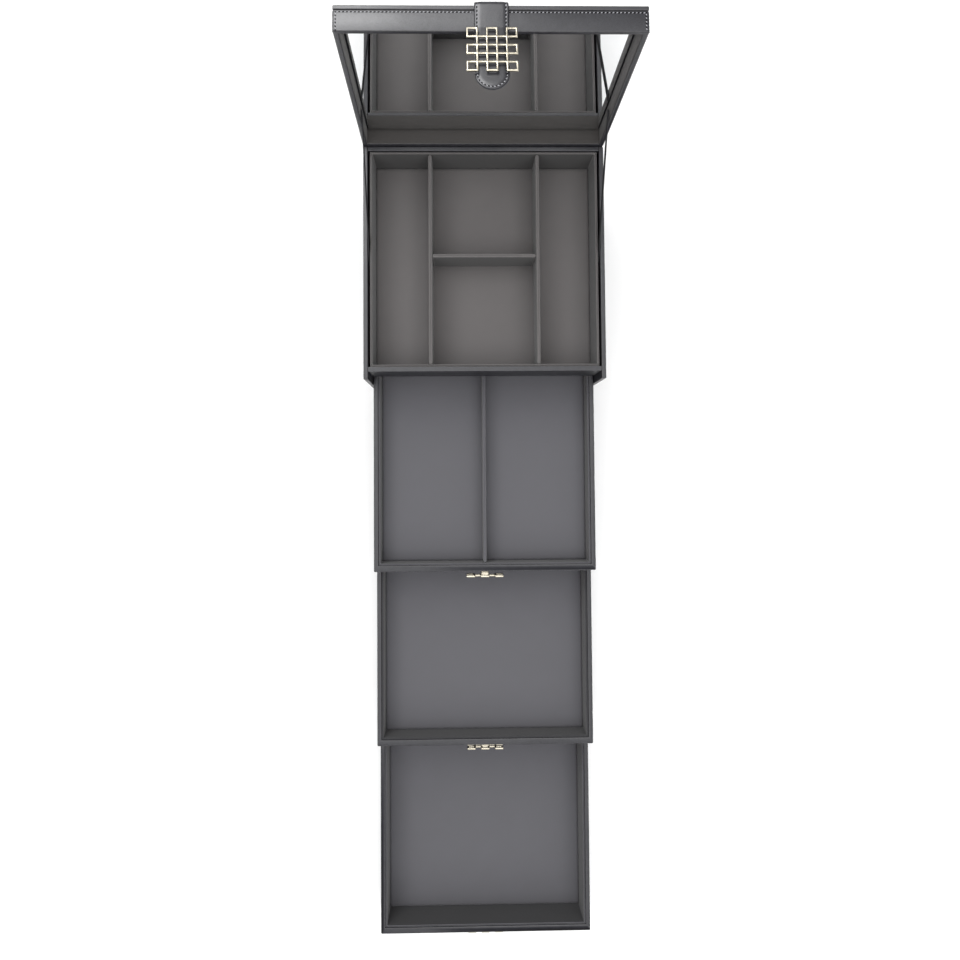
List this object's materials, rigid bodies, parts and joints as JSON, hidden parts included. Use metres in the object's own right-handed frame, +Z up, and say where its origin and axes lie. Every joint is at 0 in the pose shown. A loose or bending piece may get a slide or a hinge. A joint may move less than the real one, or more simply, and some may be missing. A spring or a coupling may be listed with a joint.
{
  "type": "makeup train case",
  "caption": "Leatherette makeup case with a divided top tray, pull-out drawers with lattice pulls, and a mirrored lid on ribbon stays closed by a strap with a lattice clasp.",
  "frame": {"origin": "centre of the case underside, under the middle of the case body itself and not of its pulled-out drawers", "axes": "+Z up, front of the case and its drawers towards -Y, X across the width"},
  "size_m": [0.266, 0.9623, 0.4845],
  "materials": {
    "leatherette": "black leatherette with a fine grain and a soft sheen",
    "tray_lining": "matt warm charcoal lining",
    "drawer_lining": "matt cool charcoal lining",
    "plated_metal": "bright plating, very slightly warm",
    "steel": "plain bright steel",
    "mirror": "silvered glass",
    "ribbon": "black grosgrain"
  },
  "bodies": {
    "case": {"left_side_panel": "leatherette", "right_side_panel": "leatherette", "back_panel": "leatherette", "base_panel": "leatherette", "tray_floor_board": "leatherette", "upper_shelf": "leatherette", "lower_shelf": "leatherette", "tray_front_board": "leatherette", "keeper_magnet": "steel", "tray_liner": "tray_lining", "tray_floor_pad": "tray_lining", "tray_divider_left": "tray_lining", "tray_divider_right": "tray_lining", "tray_cross_divider": "tray_lining", "hinge_strip": "leatherette", "lid_ribbon_left": "ribbon", "lid_ribbon_right": "ribbon"},
    "lid": {"lid_panel": "leatherette", "lid_left_wall": "leatherette", "lid_right_wall": "leatherette", "lid_front_wall": "leatherette", "lid_back_wall": "leatherette", "lid_mirror": "mirror", "strap_fixed_end": "leatherette"},
    "strap": {"strap_tongue": "leatherette", "strap_magnet": "steel", "clasp_lattice": "plated_metal", "clasp_back_plate": "steel"},
    "top_drawer": {"top_drawer_front": "leatherette", "top_drawer_left_side": "leatherette", "top_drawer_right_side": "leatherette", "top_drawer_back": "leatherette", "top_drawer_floor": "leatherette", "top_drawer_liner": "drawer_lining", "top_drawer_pad": "drawer_lining", "top_drawer_divider": "drawer_lining", "top_drawer_pull": "plated_metal", "top_drawer_pull_screw": "steel"},
    "middle_drawer": {"middle_drawer_front": "leatherette", "middle_drawer_left_side": "leatherette", "middle_drawer_right_side": "leatherette", "middle_drawer_back": "leatherette", "middle_drawer_floor": "leatherette", "middle_drawer_liner": "drawer_lining", "middle_drawer_pad": "drawer_lining", "middle_drawer_pull": "plated_metal", "middle_drawer_pull_screw": "steel"},
    "bottom_drawer": {"bottom_drawer_front": "leatherette", "bottom_drawer_left_side": "leatherette", "bottom_drawer_right_side": "leatherette", "bottom_drawer_back": "leatherette", "bottom_drawer_floor": "leatherette", "bottom_drawer_liner": "drawer_lining", "bottom_drawer_pad": "drawer_lining", "bottom_drawer_pull": "plated_metal", "bottom_drawer_pull_screw": "steel"}
  },
  "joints": [
    {"name": "lid_hinge", "type": "hinge", "parent": "case", "child": "lid", "pos_m": [0, 0.1292, 0.20865], "axis": [1, 0, 0], "range_deg": [0, 92], "deforming": ["hinge_strip", "lid_ribbon_left", "lid_ribbon_right"]},
    {"name": "strap_bend", "type": "hinge", "parent": "lid", "child": "strap", "pos_m": [0, 0.14047, 0.46992], "axis": [-1, 0, 0], "range_deg": [-12, 93], "stiffness_Nm_per_rad": 0.05, "springref_deg": 5.73},
    {"name": "top_drawer_slide", "type": "slide", "parent": "case", "child": "top_drawer", "axis": [0, 1, 0], "range_m": [0, 0.224]},
    {"name": "middle_drawer_slide", "type": "slide", "parent": "case", "child": "middle_drawer", "axis": [0, 1, 0], "range_m": [0, 0.432]},
    {"name": "bottom_drawer_slide", "type": "slide", "parent": "case", "child": "bottom_drawer", "axis": [0, 1, 0], "range_m": [0, 0.6695]}
  ]
}
